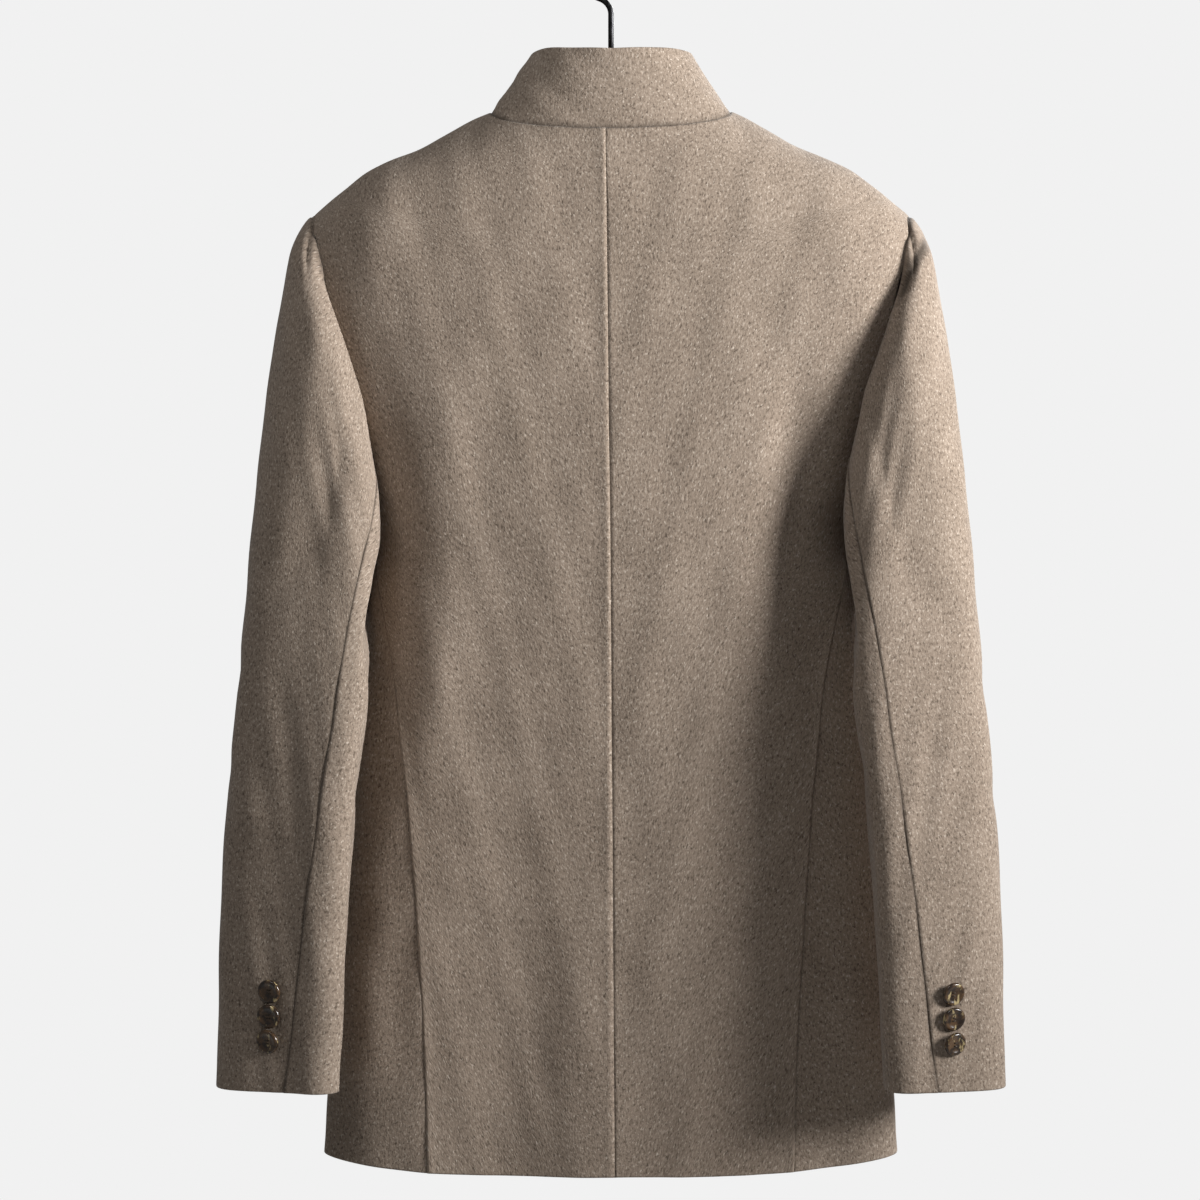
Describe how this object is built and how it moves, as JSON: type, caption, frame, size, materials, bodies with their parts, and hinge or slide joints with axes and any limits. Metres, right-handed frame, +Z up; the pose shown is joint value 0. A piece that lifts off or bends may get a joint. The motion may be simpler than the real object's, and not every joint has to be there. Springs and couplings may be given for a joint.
{
  "type": "stand-collar wool jacket on a hanger",
  "caption": "Hip-length stand-collar jacket of brown heathered wool with two-piece sleeves and buttoned cuffs, hung open-bodied on a plain wooden hanger.",
  "frame": {"origin": "on the inner side of the hanger hook's crown, where the hook rests on a rail", "axes": "+Z up; the jacket's front faces -Y, its back +Y; +X is the wearer's left"},
  "size_m": [0.5594, 0.2045, 0.9026],
  "materials": {
    "wool": "felted heathered wool, matt",
    "horn": "polished mottled horn",
    "dark_wood": "dark satin lacquer",
    "black_steel": "blackened wire"
  },
  "bodies": {
    "root": {"back_left": "wool", "back_right": "wool", "side_left": "wool", "side_right": "wool", "front_left": "wool", "front_right": "wool", "collar": "wool", "upper_sleeve_left": "wool", "upper_sleeve_right": "wool", "under_sleeve_left": "wool", "under_sleeve_right": "wool", "cuff_button_left_1": "horn", "cuff_button_left_2": "horn", "cuff_button_left_3": "horn", "cuff_button_right_1": "horn", "cuff_button_right_2": "horn", "cuff_button_right_3": "horn", "front_button_1": "horn", "front_button_2": "horn", "front_button_3": "horn", "front_button_4": "horn", "front_button_5": "horn", "hanger_bar": "dark_wood", "hanger_hook": "black_steel"}
  },
  "joints": []
}
